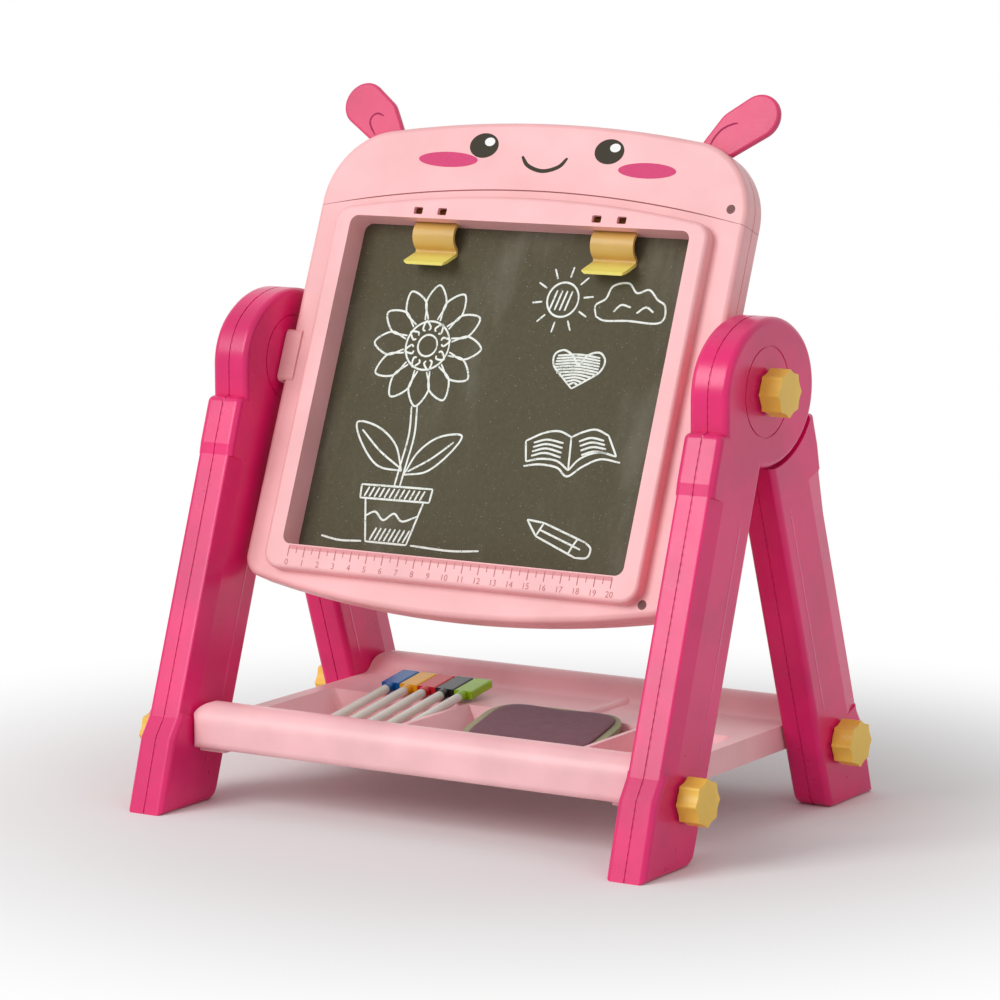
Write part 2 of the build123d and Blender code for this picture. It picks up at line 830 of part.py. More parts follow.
def header(front):
    """One half of the header, with the tabs below it and the slots for the ears."""
    plane = facing(front)
    with BuildPart() as panel:
        add(shell(header_outline, plane, lambda at: at.Y < board_seam + 2 * seat_gap))
        with BuildSketch(plane):
            add(tab_outline())
        extrude(amount=board_half_depth - board_wall - seat_gap)
        with BuildSketch(plane):
            add(ear_slots())
        extrude(amount=ear_tab_half + ear_fit, mode=Mode.SUBTRACT)
    return panel.part


save(bezel(True), "front_bezel")
save(bezel(False), "rear_bezel")
save(header(True), "header_front")
save(header(False), "header_back")

for front, name in ((True, "chalkboard"), (False, "whiteboard")):
    with BuildPart() as sheet:
        with BuildSketch(facing(front)):
            add(opening_outline(sheet_lap))
        extrude(amount=sheet_thickness)
    save(sheet.part, name)


# ==== paper clips ============================================================================
# A sprung plate hinges on a pin behind the rim's upper bar, comes out through a slot in it, bows
# over, bends back to the chalkboard and ends in a lip for the fingers.
def touch(point, hub, radius, way):
    """Where a line from a point touches a circle; way picks the side, as 1 or -1."""
    up, out = point[0] - hub[0], point[1] - hub[1]
    turn = atan2(out, up) + way * acos(radius / sqrt(up**2 + out**2))
    return (hub[0] + radius * cos(turn), hub[1] + radius * sin(turn))


def clip(side):
    """A clip at rest, with its barrel round the pin."""
    middle = side * clip_place
    edge_on = Plane(
        origin=board.from_local_coords((middle - clip_width / 2, 0, 0)),
        x_dir=board.y_dir,
        z_dir=board.x_dir,
    )
    root = (clip_up, clip_out - clip_sink)
    span = clip_bow_radius + clip_bend
    bends = []
    for way, low in ((1, root[1]), (-1, sheet_thickness + clip_rest_gap + clip_thickness / 2)):
        out = low + clip_bend
        bends.append((clip_bow_up + way * sqrt(span**2 - (out - clip_bow_out) ** 2), out))
    neck, heel = bends
    # where the bow meets the bends
    share = clip_bow_radius / span
    start, end = [
        (clip_bow_up + share * (up - clip_bow_up), clip_bow_out + share * (out - clip_bow_out))
        for up, out in bends
    ]
    off = touch(clip_tip, heel, clip_bend, 1)
    with BuildPart() as plate:
        with BuildSketch(edge_on):
            with BuildLine():
                Line(root, (neck[0], root[1]))
                RadiusArc((neck[0], root[1]), start, clip_bend)
                ThreePointArc(start, (clip_bow_up, clip_bow_out + clip_bow_radius), end)
                ThreePointArc(end, (heel[0], heel[1] - clip_bend), off)
                Line(off, clip_tip)
            trace(line_width=clip_thickness)
            with Locations((clip_up, clip_out)):
                Circle(clip_barrel)
                Circle(clip_pin_radius + turning_gap, mode=Mode.SUBTRACT)
        extrude(amount=clip_width)
        with BuildSketch(board) as face:
            with Locations((middle, clip_tip[0] - clip_thickness / 2)):
                Rectangle(clip_width, board_seam - clip_tip[0], align=(Align.CENTER, Align.MIN))
            fillet(face.vertices().group_by(Axis.Y)[0], clip_corner)
        extrude(amount=board_half_depth + rim_height, mode=Mode.INTERSECT)
    return plate.part


for side, hand in ((-1, "left"), (1, "right")):
    save(clip(side), f"clip_{hand}")
    start = board.from_local_coords((side * clip_place - clip_width / 2 - clip_rib, clip_up, clip_out))
    with BuildPart() as clip_pin:
        with BuildSketch(Plane(origin=start, z_dir=(1, 0, 0))):
            Circle(clip_pin_radius)
        extrude(amount=clip_width + 2 * clip_rib)
    save(clip_pin.part, f"clip_pin_{hand}")


# ==== pivot blocks ===========================================================================
# A block saddles each edge of the board at the height of the pivot. Its spigot is trapped
# between the bezels and holds the brass insert that the pivot stud runs in.
for side, hand in ((-1, "left"), (1, "right")):
    start = board.from_local_coords((side * block_inner, 0, 0))
    beside = Plane(origin=start, x_dir=board.y_dir, z_dir=(side, 0, 0))
    with BuildPart() as block:
        with BuildSketch(beside):
            with Locations(((block_top - block_bottom) / 2, 0)):
                RectangleRounded(block_top + block_bottom, 2 * block_half_depth, block_corner)
        extrude(amount=rail_half_length - block_inner)
        outer = block.faces().sort_by(Axis.X)[-1 if side > 0 else 0]
        chamfer(outer.edges(), block_chamfer)
        with BuildSketch(beside):
            Rectangle(3 * block_top, 2 * (board_half_depth + frame_gap))
        extrude(amount=board_half_width + frame_gap - block_inner, mode=Mode.SUBTRACT)
        with BuildSketch(beside.offset(spigot_inner - block_inner)):
            Circle(spigot_radius)
        extrude(amount=board_half_width - spigot_inner + 1)
        with BuildSketch(beside.offset(spigot_inner - block_inner)):
            Circle(pivot_insert_radius)
        extrude(amount=rail_half_length - spigot_inner, mode=Mode.SUBTRACT)
    save(block.part, f"pivot_block_{hand}")
    with BuildPart() as pivot_insert:
        with BuildSketch(beside.offset(spigot_inner - block_inner)):
            Circle(pivot_insert_radius)
            Circle(stud_bore, mode=Mode.SUBTRACT)
        extrude(amount=rail_half_length - seat_gap - spigot_inner)
    save(pivot_insert.part, f"pivot_insert_{hand}")


# ==== ears ===================================================================================
# A curled ear stands on each shoulder of the header, on a tab that goes down between its halves.
for side, hand in ((-1, "left"), (1, "right")):
    with BuildPart() as ear:
        with BuildSketch(board.offset(-ear_half_depth)):
            with BuildLine():
                for inset, rise_over, radius in ear_circles:
                    middle = (side * (board_half_width - inset), board_top + rise_over)
                    CenterArc(middle, radius, 0, 360)
            make_hull()
        extrude(amount=2 * ear_half_depth)
        rims = ear.faces().sort_by(Axis(board.origin, board.z_dir))
        fillet(rims[0].edges() + rims[-1].edges(), ear_round)
        with BuildSketch(board.offset(-ear_half_depth)):
            add(header_outline(-ear_fit))
        extrude(amount=2 * ear_half_depth, mode=Mode.SUBTRACT)
        with BuildSketch(board.offset(-ear_tab_half)):
            with Locations((side * ear_tab_place, board_top - ear_tab_depth)):
                Rectangle(ear_tab_width, 2 * ear_tab_depth)
        extrude(amount=2 * ear_tab_half)
    save(ear.part, f"ear_{hand}")


# ==== pens ===================================================================================
# Five pens lie on the deck's edge, their caps to the back. Each cap ends in a felt wiper.
lean = radians(pen_tilt)
for index, colour in enumerate(pen_names):
    rest = (
        pen_first + index * pen_pitch,
        step_top,
        deck_top + pen_rest + collar_radius / cos(lean),
    )
    axis = Plane(origin=rest, x_dir=(1, 0, 0), z_dir=(0, cos(lean), sin(lean)))
    with BuildPart() as barrel:
        with BuildSketch(axis.offset(-barrel_length)):
            Circle(barrel_radius)
        extrude(amount=barrel_length)
        chamfer(barrel.faces().sort_by(Axis.Y)[0].edges(), 0.6)
        with BuildSketch(axis):
            Circle(nib_radius)
        extrude(amount=nib_length)
    save(barrel.part, f"{colour}_pen_barrel")
    with BuildPart() as cap:
        with BuildSketch(axis):
            Circle(collar_radius)
        extrude(amount=collar_length)
        with BuildSketch(axis.offset(collar_length)):
            RectangleRounded(cap_width, cap_height, cap_corner)
        extrude(amount=cap_length)
        with BuildSketch(axis):
            Circle(nib_radius + turning_gap)
        extrude(amount=nib_length + 1, mode=Mode.SUBTRACT)
    save(cap.part, f"{colour}_pen_cap")
    with BuildPart() as felt:
        with BuildSketch(axis.offset(collar_length + cap_length)):
            RectangleRounded(cap_width - 0.6, cap_height - 0.6, cap_corner - 0.3)
        extrude(amount=felt_length)
    save(felt.part, f"{colour}_pen_felt")


# ==== eraser =================================================================================
# A thin wavy pad on a rounded backing leans from the middle pocket's floor on to the deck's edge,
# its felt side up.
across = 1 / sqrt(1 + eraser_slope**2)
under = deck_top + pen_rest + eraser_slope * (eraser_y - step_top)
lying = Plane(
    origin=(eraser_x, eraser_y, under),
    x_dir=(1, 0, 0),
    z_dir=(0, -eraser_slope * across, across),
)
with BuildPart() as eraser_back:
    with BuildSketch(lying):
        RectangleRounded(eraser_length, eraser_width, eraser_corner)
    extrude(amount=eraser_thickness)
save(eraser_back.part, "eraser_back")

with BuildPart() as eraser_pad:
    with BuildSketch(lying.offset(eraser_thickness)):
        half_length = pad_length / 2
        half_width = pad_width / 2
        with BuildLine():
            for way in (-1, 1):
                lobe = half_length * pad_lobe
                hip = half_width * pad_hip
                ThreePointArc(
                    (-lobe, way * half_width),
                    (0, way * (half_width - pad_dip)),
                    (lobe, way * half_width),
                )
                ThreePointArc(
                    (way * (half_length - pad_dip), -hip),
                    (way * half_length, 0),
                    (way * (half_length - pad_dip), hip),
                )
                for end in (-1, 1):
                    corner = (end * half_length, way * half_width)
                    ThreePointArc(
                        (end * lobe, way * half_width),
                        (corner[0] - end * pad_corner, corner[1] - way * pad_corner),
                        (end * (half_length - pad_dip), way * hip),
                    )
        make_face()
    extrude(amount=pad_thickness)
save(eraser_pad.part, "eraser_felt")
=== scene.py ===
import math

import bmesh
import bpy
import numpy as np
from mathutils import Matrix, Vector


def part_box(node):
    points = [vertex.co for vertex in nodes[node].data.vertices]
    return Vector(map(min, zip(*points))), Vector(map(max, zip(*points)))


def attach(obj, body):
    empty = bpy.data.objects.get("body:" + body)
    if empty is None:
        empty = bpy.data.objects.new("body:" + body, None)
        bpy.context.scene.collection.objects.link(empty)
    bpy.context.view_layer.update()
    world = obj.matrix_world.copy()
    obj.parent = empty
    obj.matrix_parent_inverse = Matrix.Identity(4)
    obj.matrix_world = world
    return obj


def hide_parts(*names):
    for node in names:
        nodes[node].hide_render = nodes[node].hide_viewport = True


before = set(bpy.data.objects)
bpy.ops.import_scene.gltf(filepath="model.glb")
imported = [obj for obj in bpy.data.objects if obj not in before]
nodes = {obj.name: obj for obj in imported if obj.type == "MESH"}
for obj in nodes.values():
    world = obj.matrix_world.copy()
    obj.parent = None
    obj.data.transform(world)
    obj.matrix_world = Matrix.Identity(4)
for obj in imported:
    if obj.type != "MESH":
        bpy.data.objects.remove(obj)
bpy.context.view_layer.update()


# ==== side stands ============================================================================
# Each leg is two shells of glossy magenta ABS clipped together down its middle. The seam carries
# a row of weld dots, and a shallow moulded line runs down each broad face, painted a lighter pink
# as a highlight.
class Wire:
    """A socket in a material. Arithmetic on it adds Math nodes, and node() adds any other."""

    def __init__(self, tree, socket=None):
        self.tree, self.socket = tree, socket

    def node(self, kind, settings, inputs, out=0):
        """Adds a node with its settings first and then the values or links of its sockets."""
        made = self.tree.nodes.new(kind)
        for name, value in settings.items():
            setattr(made, name, value)
        for name, value in inputs.items():
            if isinstance(value, Wire):
                self.tree.links.new(value.socket, made.inputs[name])
            else:
                made.inputs[name].default_value = value
        return Wire(self.tree, made.outputs[out])

    def math(self, operation, *values):
        return self.node("ShaderNodeMath", {"operation": operation}, dict(enumerate(values)))

    def __add__(self, other):
        return self.math("ADD", self, other)

    def __radd__(self, other):
        return self.math("ADD", other, self)

    def __sub__(self, other):
        return self.math("SUBTRACT", self, other)

    def __rsub__(self, other):
        return self.math("SUBTRACT", other, self)

    def __mul__(self, other):
        return self.math("MULTIPLY", self, other)

    def __rmul__(self, other):
        return self.math("MULTIPLY", other, self)

    def size(self):
        """The value without its sign."""
        return self.math("ABSOLUTE", self)

    def step(self, low, high):
        """0 below low and 1 above high, smooth between."""
        ranges = {"From Min": low, "From Max": high}
        settings = {"interpolation_type": "SMOOTHSTEP"}
        return self.node("ShaderNodeMapRange", settings, {"Value": self, **ranges})

    def noise(self, place, scale, detail=2.0, roughness=0.5):
        """Soft noise with its middle at 0.5."""
        return self.node(
            "ShaderNodeTexNoise",
            {},
            {"Vector": place, "Scale": scale, "Detail": detail, "Roughness": roughness},
        )

    def blend(self, factor, first, second):
        """first where factor is 0 and second where it is 1."""
        return self.node("ShaderNodeMix", {"data_type": "RGBA"}, {0: factor, 6: first, 7: second}, 2)

    def bump(self, height, distance, strength=1.0):
        return self.node(
            "ShaderNodeBump", {}, {"Height": height, "Distance": distance, "Strength": strength}
        )


def linear(red, green, blue, gain=1.0):
    """A colour of 0 to 255 per channel as the linear values that a shader takes."""
    values = [min(c * gain, 255) / 255 for c in (red, green, blue)]
    return (*[v / 12.92 if v <= 0.04045 else ((v + 0.055) / 1.055) ** 2.4 for v in values], 1)


def finish_material(name, **constants):
    """A new material: its wire, its Principled shader and its place on the object, in metres."""
    material = bpy.data.materials.new(name)
    material.use_nodes = True
    shader = material.node_tree.nodes["Principled BSDF"]
    for socket, value in constants.items():
        shader.inputs[socket.replace("_", " ")].default_value = value
    wire = Wire(material.node_tree)
    place = wire.node("ShaderNodeTexCoord", {}, {}, "Object")
    return material, wire, shader, place


def feed(wire, shader, **sockets):
    """Links wires to the shader's sockets."""
    for name, value in sockets.items():
        wire.tree.links.new(value.socket, shader.inputs[name.replace("_", " ")])


def dress(material, *names):
    """Puts a material on CAD nodes."""
    for name in names:
        nodes[name].data.materials.clear()
        nodes[name].data.materials.append(material)


def moulded(name, colour, roughness=0.32, mottle=0.05, peel=0.00006, grain=900.0):
    """Injection-moulded plastic: faint cloudiness of colour, fine texture and rubbed patches."""
    material, wire, shader, place = finish_material(
        name, Coat_Weight=0.06, Coat_Roughness=0.2, Specular_IOR_Level=0.38
    )
    cloud = wire.noise(place, 22.0, 3.0)
    shade = wire.blend(cloud.step(0.3, 0.7), linear(*colour, 1 - mottle), linear(*colour, 1 + mottle))
    rub = wire.noise(place, 90.0, 4.0, 0.6)
    texture = wire.noise(place, grain, 2.0)
    feed(
        wire,
        shader,
        Base_Color=shade,
        Roughness=roughness + (rub - 0.5) * 0.14,
        Normal=wire.bump(texture, peel),
    )
    return material, wire, shader, place


PIVOT_HEIGHT = 0.2323
LEG_RUN = 0.3566
LEG_MIDDLE = 0.14775
LEG_BACK = 0.0082
DOT_PITCH = 0.0042
BROAD_FACE = (0.0095, 0.0105)
LINE_FOOT, LINE_TOP = (0.052, 0.064), (0.158, 0.172)


def leg_plastic(name, towards, line_inset):
    """Magenta plastic with the weld dots on the seam and a moulded line down each broad face, the
    line painted a lighter pink as a highlight.
    """
    material, wire, shader, place = moulded(name, (224, 20, 106), roughness=0.3)
    shader.inputs["Coat Weight"].default_value = 0.2
    x, y, z = [wire.node("ShaderNodeSeparateXYZ", {}, {"Vector": place}, out) for out in range(3)]
    off_seam = (x.size() - LEG_MIDDLE).size()
    beat = wire.math("SINE", z * (2 * math.pi / DOT_PITCH))
    dots = (1 - off_seam.step(0.0003, 0.0009)) * beat.step(0.1, 0.6)
    inboard = y * towards - (PIVOT_HEIGHT - z) * LEG_RUN + LEG_BACK
    ridge = 1 - (inboard - line_inset).size().step(0.0, 0.0012)
    below = 1 - z.step(*LINE_TOP)
    above = z.step(*LINE_FOOT)
    broad = off_seam.step(*BROAD_FACE)
    ridge_bump_and_highlight = ridge * below * above * broad
    peel = wire.noise(place, 900.0, 2.0)
    shade = shader.inputs["Base Color"].links[0].from_socket
    # painted highlight: the ridge line is tinted lighter pink as if it caught the light; its bump is the
    # real moulded line
    ridge_highlighted = wire.blend(ridge_bump_and_highlight * 0.25, Wire(wire.tree, shade), linear(255, 120, 185))
    dotted = wire.blend(dots * 0.25, ridge_highlighted, linear(170, 20, 90))
    feed(
        wire,
        shader,
        Base_Color=dotted,
        Normal=wire.bump(peel * 0.04 + ridge_bump_and_highlight * 0.5 - dots * 0.2, 0.0005),
    )
    return material


for place_name, towards, line_inset in (("front", -1, 0.0135), ("rear", 1, 0.011)):
    plastic = leg_plastic(f"{place_name} leg magenta", towards, line_inset)
    for hand in ("left", "right"):
        for shell in ("outer", "inner"):
            dress(plastic, f"{place_name}_leg_{hand}_{shell}")


# ==== clamping knobs =========================================================================
# Star knobs moulded in warm yellow, slightly waxy plastic round plain steel studs. The studs run
# in turned brass inserts.
knob_plastic, *_ = moulded("knob yellow", (250, 200, 84), roughness=0.36, mottle=0.04)
knob_plastic.node_tree.nodes["Principled BSDF"].inputs["Subsurface Weight"].default_value = 0.08


def turned_metal(name, colour, roughness, ring):
    """Turned metal with fine lathe rings across the X axis."""
    material, wire, shader, place = finish_material(name, Metallic=1.0)
    x = wire.node("ShaderNodeSeparateXYZ", {}, {"Vector": place})
    rings = wire.math("SINE", x * (2 * math.pi / ring) + wire.noise(place, 300.0) * 3)
    tint = wire.blend(wire.noise(place, 120.0, 4.0), linear(*colour, 0.88), linear(*colour, 1.05))
    feed(
        wire,
        shader,
        Base_Color=tint,
        Roughness=roughness + rings * 0.06,
        Normal=wire.bump(rings, 0.00002),
    )
    return material


steel = turned_metal("turned steel", (188, 190, 194), 0.3, 0.0005)
brass = turned_metal("turned brass", (214, 172, 92), 0.32, 0.0006)
for hand in ("left", "right"):
    for where in ("pivot", "front_foot", "rear_foot"):
        dress(knob_plastic, f"{where}_knob_{hand}")
        dress(steel, f"{where}_stud_{hand}")
    dress(brass, f"pivot_insert_{hand}")
    dress(steel, f"clip_pin_{hand}")
dress(brass, "tray_inserts")


# ==== tray ===================================================================================
# One moulding in pale pink plastic, open below, with a rolled rail along its front and its back.
# Each end is held to the legs by two studs that run into brass inserts.
pale_pink, *_ = moulded("tray pink", (247, 192, 196), roughness=0.38, mottle=0.035)
dress(pale_pink, "tray")


# ==== drawing board ==========================================================================
# Two bezels and a header in the same pale pink as the tray, round a chalkboard to the front and a
# white wipe-clean sheet to the back.
BOARD_TILT = math.radians(22.2)
RIM_FACE = 0.0165
BOARD_FACE = 0.0095
SHEET_FACE = 0.0008


def on_board(u, v, w):
    """Points of the board: u across it, v up it and w out of its front, turned into the row's
    frame. y is v sin tilt - w cos tilt, and z is the pivot's height + v cos tilt + w sin tilt."""
    u, v, w = np.broadcast_arrays(u, v, w)
    y = v * math.sin(BOARD_TILT) - w * math.cos(BOARD_TILT)
    z = PIVOT_HEIGHT + v * math.cos(BOARD_TILT) + w * math.sin(BOARD_TILT)
    return np.stack([u, y, z], axis=-1)


board_pink, *_ = moulded("board pink", (244, 182, 184), roughness=0.38, mottle=0.03)
dress(board_pink, "front_bezel", "rear_bezel", "header_front", "header_back")
dress(board_pink, "pivot_block_left", "pivot_block_right")


def chalkboard_paint():
    """Dark olive board paint with a fine tooth, wiped chalk haze and a few stray specks."""
    material, wire, shader, place = finish_material("chalkboard", Specular_IOR_Level=0.25)
    stretched = wire.node(
        "ShaderNodeMapping", {}, {"Vector": place, "Scale": (1.0, 0.35, 0.35), "Rotation": (0, 0.5, 0)}
    )
    haze = wire.noise(stretched, 28.0, 5.0, 0.6).step(0.48, 0.78)
    specks = wire.noise(place, 1400.0, 1.0).step(0.72, 0.78)
    base = wire.blend(wire.noise(place, 400.0, 3.0), linear(74, 70, 52), linear(90, 84, 64))
    hazed = wire.blend(haze * 0.16, base, linear(190, 190, 175))
    specked = wire.blend(specks * 0.35, hazed, linear(235, 235, 225))
    feed(
        wire,
        shader,
        Base_Color=specked,
        Roughness=0.72 + haze * 0.15,
        Normal=wire.bump(wire.noise(place, 2600.0, 2.0), 0.00008),
    )
    return material


def whiteboard_film():
    """White lacquered film with faint grey wipe marks."""
    material, wire, shader, place = finish_material("white film", Coat_Weight=0.5, Coat_Roughness=0.08)
    swept = wire.node("ShaderNodeMapping", {}, {"Vector": place, "Scale": (0.25, 1.0, 1.0)})
    marks = wire.noise(swept, 40.0, 5.0, 0.65).step(0.5, 0.85)
    shade = wire.blend(marks * 0.2, linear(243, 244, 242), linear(205, 208, 214))
    feed(
        wire,
        shader,
        Base_Color=shade,
        Roughness=0.2 + marks * 0.15,
        Normal=wire.bump(wire.noise(place, 60.0, 2.0), 0.00005),
    )
    return material


dress(chalkboard_paint(), "chalkboard")
dress(whiteboard_film(), "whiteboard")


# ==== chalk drawings =========================================================================
# Plain objects drawn on the chalkboard by hand: a flower in a pot, the sun, a cloud, a heart, an
# open book and a pencil. Each stroke is a thin broken film of chalk.
def smooth_path(points, per_span=10):
    """Catmull-Rom curve through points: each span is the cubic whose slope at each point is half
    the step between that point's neighbours. An end's missing neighbour is its other one mirrored."""
    p = np.asarray(points, float)
    p = np.concatenate([2 * p[:1] - p[1:2], p, 2 * p[-1:] - p[-2:-1]])
    t = np.linspace(0, 1, per_span, endpoint=False)[:, None]
    a, b, c, d = (p[k : len(p) - 3 + k, None] for k in range(4))
    spans = 0.5 * (
        2 * b + (c - a) * t + (2 * a - 5 * b + 4 * c - d) * t**2 + (3 * b - a - 3 * c + d) * t**3
    )
    return np.concatenate([spans.reshape(-1, p.shape[1]), p[-2:-1]])


def ribbon(path, width, taper=0.0):
    """A flat strip along a path: at each point, half the width to each side along the normal,
    narrowed towards its ends by the taper. Returns vertices (n, 2, 2) in the path's own plane."""
    ahead = np.gradient(path, axis=0)
    ahead /= np.linalg.norm(ahead, axis=1, keepdims=True) + 1e-12
    across = np.stack([-ahead[:, 1], ahead[:, 0]], axis=1)
    along = np.linspace(0, 1, len(path))[:, None]
    half = width / 2 * (1 - taper * (2 * along - 1) ** 8)
    return np.stack([path - across * half, path + across * half], axis=1)


def grid_faces(rows, columns, first=0):
    """Faces between the vertices of a grid, numbered row by row."""
    r, c = np.meshgrid(np.arange(rows - 1), np.arange(columns - 1), indexing="ij")
    corner = first + (r * columns + c).ravel()
    return np.stack([corner, corner + 1, corner + columns + 1, corner + columns], axis=1)


def make_piece(name, vertices, faces, body, slot, material):
    """Makes a mesh of a named piece, puts its finish on it and lets it ride on its body."""
    mesh = bpy.data.meshes.new(name)
    mesh.from_pydata(np.asarray(vertices, float).reshape(-1, 3).tolist(), [], [list(f) for f in faces])
    mesh.shade_smooth()
    piece = bpy.data.objects.new(name, mesh)
    bpy.context.scene.collection.objects.link(piece)
    mesh.materials.append(material)
    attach(piece, body)
    return piece


LAYER, LAYERS = 4e-6, 7


def strokes_on_board(strokes, width, height, taper=0.25):
    """Strokes (millimetres on the board) as one set of vertices and faces at a height above it.
    Each lies one thin layer over the stroke before, so that strokes that cross keep apart."""
    vertices, faces, first = [], [], 0
    for k, stroke in enumerate(strokes):
        strip = ribbon(np.asarray(stroke, float) / 1000, width, taper)
        level = height + LAYER * (k % LAYERS)
        vertices.append(on_board(strip[..., 0], strip[..., 1], level).reshape(-1, 3))
        faces.append(grid_faces(len(strip), 2, first)[:, ::-1])
        first += 2 * len(strip)
    return np.concatenate(vertices), np.concatenate(faces)


def ring_path(u, v, radius):
    """A circle: the centre (u, v) plus (radius cos a, radius sin a)."""
    a = np.radians(np.linspace(0, 360, 40))
    return np.stack([u + radius * np.cos(a), v + radius * np.sin(a)], axis=1)


def hatch(left, right, low, high, step, slope=1.2):
    """Short slanted strokes that fill an oblong."""
    starts = np.arange(left, right, step)
    return [smooth_path([(s, low), (s + (high - low) / slope / 2, high)], 5) for s in starts]


def petal(u, v, angle, near, far, spread):
    """One petal round the flower's centre (u, v): its outline leaves near, widens to the spread at
    0.72 far, reaches far on its own axis and comes back the same way on the other side."""
    a = math.radians(angle)
    ahead, aside = np.array([math.cos(a), math.sin(a)]), np.array([-math.sin(a), math.cos(a)])
    shape = [(near, -0.45), (0.72 * far, -1.0), (far, 0.0), (0.72 * far, 1.0), (near, 0.45)]
    return smooth_path([np.array([u, v]) + ahead * r + aside * s * spread for r, s in shape], 6)


def chalk_strokes():
    """All the strokes of the drawings, in millimetres on the board."""
    flower = [petal(-50, 12, a, 14.5, 34, 6.4) for a in range(0, 360, 30)]
    flower += [petal(-50, 12, a, 8.5, 14, 2.4) for a in range(15, 375, 45)]
    flower += [ring_path(-50, 12, 13.6), ring_path(-50, 12, 6.0)]
    stem = [
        smooth_path([(-48.5, -22), (-46.5, -38), (-48, -56), (-49, -67)]),
        smooth_path([(-52, -22), (-50, -38), (-51.5, -56), (-52.5, -67)]),
        smooth_path([(-50, -58), (-66, -56), (-79, -44), (-84, -33), (-70, -35), (-57, -44), (-50, -58)]),
        smooth_path([(-52, -56), (-66, -48), (-80, -37)]),
        smooth_path([(-48, -60), (-34, -57), (-22, -46), (-17, -36), (-31, -38), (-42, -47), (-48, -60)]),
        smooth_path([(-46, -58), (-33, -50), (-21, -40)]),
    ]
    pot = [
        np.linspace((-73, -67), (-28, -66.5), 12),
        np.linspace((-28, -66.5), (-28.6, -74), 5),
        np.linspace((-28.6, -74), (-72.4, -74.4), 12),
        np.linspace((-72.4, -74.4), (-73, -67), 5),
        np.linspace((-69, -74), (-63.5, -98), 8),
        np.linspace((-63.5, -98), (-37.5, -98), 9),
        np.linspace((-37.5, -98), (-32, -74), 8),
        smooth_path([(-66.6, -84), (-61, -81.4), (-55, -85.6), (-49, -81.6), (-43, -85.4), (-34.2, -82)]),
    ]
    pot += hatch(-70, -32, -73.4, -68, 3.2) + hatch(-61, -39, -97, -90, 3.0)
    ground = [
        smooth_path([(-92, -97), (-80, -98.6), (-66, -98)]),
        smooth_path([(-35, -98), (-10, -98.8), (8, -97.4)]),
    ]
    sun = [ring_path(28, 42, 9.5)] + hatch(21, 33, 36, 47, 3.1, 2.0)
    for k in range(10):
        a = math.radians(36 * k + 8)
        sun.append(np.array([(28 + r * math.cos(a), 42 + r * math.sin(a)) for r in (12.5, 15, 18.5)]))
    cloud = [
        smooth_path(
            [(50, 34), (48.5, 40), (54, 44), (57, 51), (66, 53), (72, 48), (79, 50), (85, 45)]
            + [(90, 42), (91, 35), (86, 32), (70, 32.6), (56, 32), (50, 34)]
        ),
        smooth_path([(60, 37), (64, 41), (70, 40)]),
        smooth_path([(74, 37), (79, 40.5), (84, 38)]),
    ]
    heart_path = [(44, -6), (37, 0), (30.6, 6), (30, 12), (35, 14.6), (41, 12), (45.5, 7)]
    heart_path += [(50, 12.6), (57, 14.4), (61, 10), (59, 4), (52, -1), (44, -6)]
    heart = [smooth_path(heart_path)]
    for k in range(11):
        v = 12.2 - k * 1.55
        narrowing = 1 if v > 4 else (v + 6) / 10 + 0.08
        half = 13.5 * math.sqrt(max(0.0, 1 - ((v - 8) / 14.5) ** 2)) * narrowing
        middle = 45.4 - (0.6 if v > 4 else (4 - v) * 0.1)
        left, right = (middle - half, v - 0.8), (middle + half, v - 0.6)
        heart.append(smooth_path([left, (middle, v + 0.5), right], 6))
    book = [
        smooth_path([(52, -50), (44, -45.4), (34, -45), (25.5, -47)]),
        smooth_path([(52, -50), (58, -43), (68, -39), (79, -40.5)]),
        smooth_path([(50, -32), (42, -29.4), (33, -31), (23, -36)]),
        smooth_path([(50, -32), (57, -28.6), (64, -27), (72, -29.6)]),
        np.linspace((23, -36), (25.5, -47), 6),
        np.linspace((72, -29.6), (79, -40.5), 7),
        np.linspace((50, -32), (52, -50), 8),
        smooth_path(
            [(24.6, -49.6), (34, -48), (45, -49), (52, -53.2), (60, -47.4), (70, -42.6), (82, -43.6)]
        ),
    ]
    for k in range(4):
        down = 2.4 * k
        book.append(smooth_path([(28, -36.6 - down), (36, -34.4 - down), (46, -35.6 - 2.6 * k)], 6))
        book.append(
            smooth_path([(55 + k, -34 - down), (62 + k, -31.6 - down), (70 + k, -32.6 - 2.2 * k)], 6)
        )
    pencil = [
        np.linspace((33.5, -78), (44, -79), 5),
        np.linspace((33.5, -78), (40.5, -86.4), 6),
        np.linspace((44, -79), (40.5, -86.4), 5),
        np.linspace((44, -79), (71, -87.4), 9),
        np.linspace((40.5, -86.4), (66.6, -96), 9),
        np.linspace((42.2, -82.8), (68.6, -91.4), 9),
        smooth_path([(66, -85.8), (63.6, -90), (61.8, -94.2)]),
        smooth_path([(71, -87.4), (74.6, -90.4), (73.4, -95.2), (66.6, -96)]),
    ]
    return flower + stem + pot + ground + sun + cloud + heart + book + pencil


def chalk_dust():
    """Chalk that lies on the board's tooth: white, dry and broken up, more so at its edges."""
    material, wire, shader, place = finish_material("chalk", Roughness=0.9, Specular_IOR_Level=0.1)
    tooth = wire.noise(place, 1500.0, 3.0, 0.7)
    patch = wire.noise(place, 260.0, 2.0)
    feed(
        wire,
        shader,
        Base_Color=wire.blend(patch, linear(225, 232, 222), linear(248, 250, 246)),
        Alpha=(tooth * 0.75 + patch * 0.35).step(0.36, 0.5),
    )
    return material


make_piece(
    "chalk_drawings",
    *strokes_on_board(chalk_strokes(), 0.00115, SHEET_FACE + 0.00006),
    "board",
    "chalkboard_face",
    chalk_dust(),
)


# ==== face on the header =====================================================================
# A plain smiling face printed in three inks: dark brown for the eyes and smile, white for the glint
# in each eye, and rose for the cheeks. The ink is a thin even film.
DISC_RINGS, DISC_SPOKES = 6, 48


